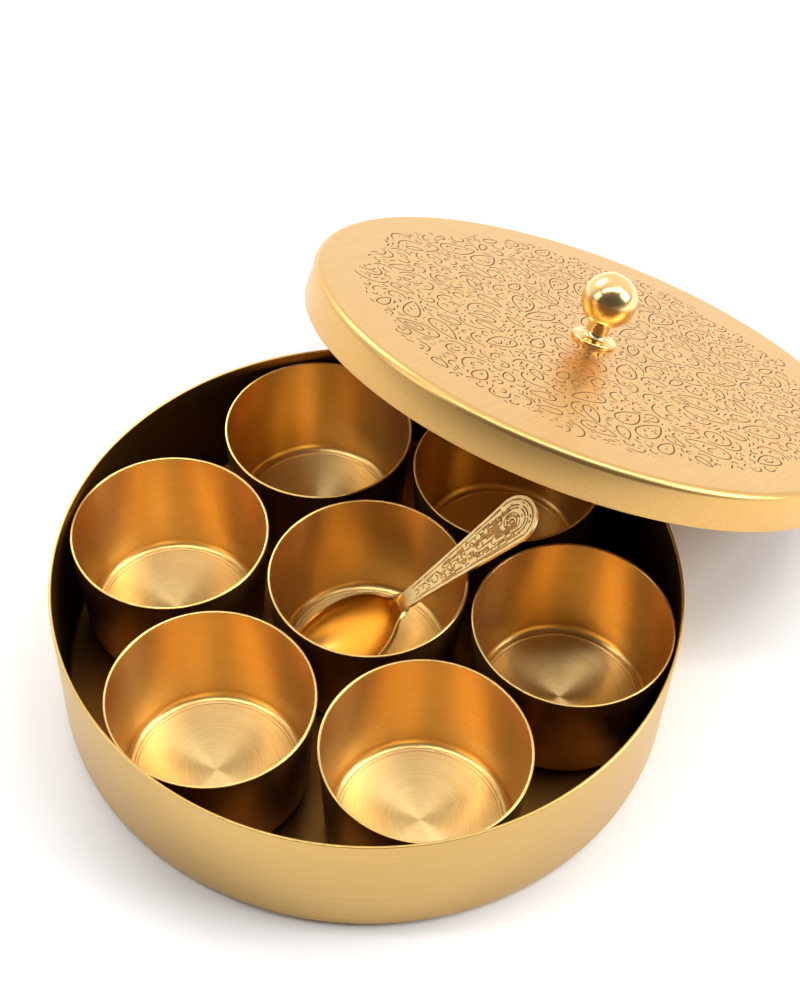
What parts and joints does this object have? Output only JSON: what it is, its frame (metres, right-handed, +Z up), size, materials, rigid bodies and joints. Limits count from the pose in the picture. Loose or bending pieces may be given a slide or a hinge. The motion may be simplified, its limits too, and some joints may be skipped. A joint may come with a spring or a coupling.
{
  "type": "spice box",
  "caption": "Round brass spice box: shallow pan with loose cups round a middle one, a small spoon, and a flat engraved lid with a ball knob, leaning off.",
  "frame": {"origin": "centre of the pan's underside, on the table", "axes": "+Z up along the pan's axis; +X to the viewer's right and +Y to the back, where the lid leans"},
  "size_m": [0.2862, 0.3066, 0.1052],
  "materials": {
    "pan_brass": "satin, brushed round its wall",
    "cup_brass": "satin, turned",
    "lid_brass": "satin, brushed, with an engraved scroll field",
    "knob_brass": "polished",
    "spoon_brass": "satin, with a chased handle",
    "screw_brass": "turned"
  },
  "bodies": {
    "pan": {"box_pan": "pan_brass"},
    "lid": {"lid_cover": "lid_brass", "lid_knob": "knob_brass", "knob_washer": "screw_brass", "knob_screw": "screw_brass"},
    "cup_centre": {"cup_centre": "cup_brass"},
    "cup_right": {"cup_right": "cup_brass"},
    "cup_back_right": {"cup_back_right": "cup_brass"},
    "cup_back_left": {"cup_back_left": "cup_brass"},
    "cup_left": {"cup_left": "cup_brass"},
    "cup_front_left": {"cup_front_left": "cup_brass"},
    "cup_front": {"cup_front": "cup_brass"},
    "spoon": {"spoon": "spoon_brass"}
  },
  "joints": [
    {"name": "lid_lift", "type": "slide", "parent": "pan", "child": "lid", "axis": [0, 0, 1], "range_m": [0, 0.2]},
    {"name": "cup_centre_lift", "type": "slide", "parent": "pan", "child": "cup_centre", "axis": [0, 0, 1], "range_m": [0, 0.08]},
    {"name": "cup_right_lift", "type": "slide", "parent": "pan", "child": "cup_right", "axis": [0, 0, 1], "range_m": [0, 0.08]},
    {"name": "cup_back_right_lift", "type": "slide", "parent": "pan", "child": "cup_back_right", "axis": [0, 0, 1], "range_m": [0, 0.08]},
    {"name": "cup_back_left_lift", "type": "slide", "parent": "pan", "child": "cup_back_left", "axis": [0, 0, 1], "range_m": [0, 0.08]},
    {"name": "cup_left_lift", "type": "slide", "parent": "pan", "child": "cup_left", "axis": [0, 0, 1], "range_m": [0, 0.08]},
    {"name": "cup_front_left_lift", "type": "slide", "parent": "pan", "child": "cup_front_left", "axis": [0, 0, 1], "range_m": [0, 0.08]},
    {"name": "cup_front_lift", "type": "slide", "parent": "pan", "child": "cup_front", "axis": [0, 0, 1], "range_m": [0, 0.08]},
    {"name": "spoon_lift", "type": "slide", "parent": "cup_centre", "child": "spoon", "axis": [0, 0, 1], "range_m": [0, 0.06]}
  ],
  "couplings": [
    {"joint": "cup_centre_lift", "follows": "lid_lift", "ratio": 0.4},
    {"joint": "cup_right_lift", "follows": "lid_lift", "ratio": 0.4},
    {"joint": "cup_back_right_lift", "follows": "lid_lift", "ratio": 0.4},
    {"joint": "cup_back_left_lift", "follows": "lid_lift", "ratio": 0.4},
    {"joint": "spoon_lift", "follows": "lid_lift", "ratio": 0.3}
  ]
}
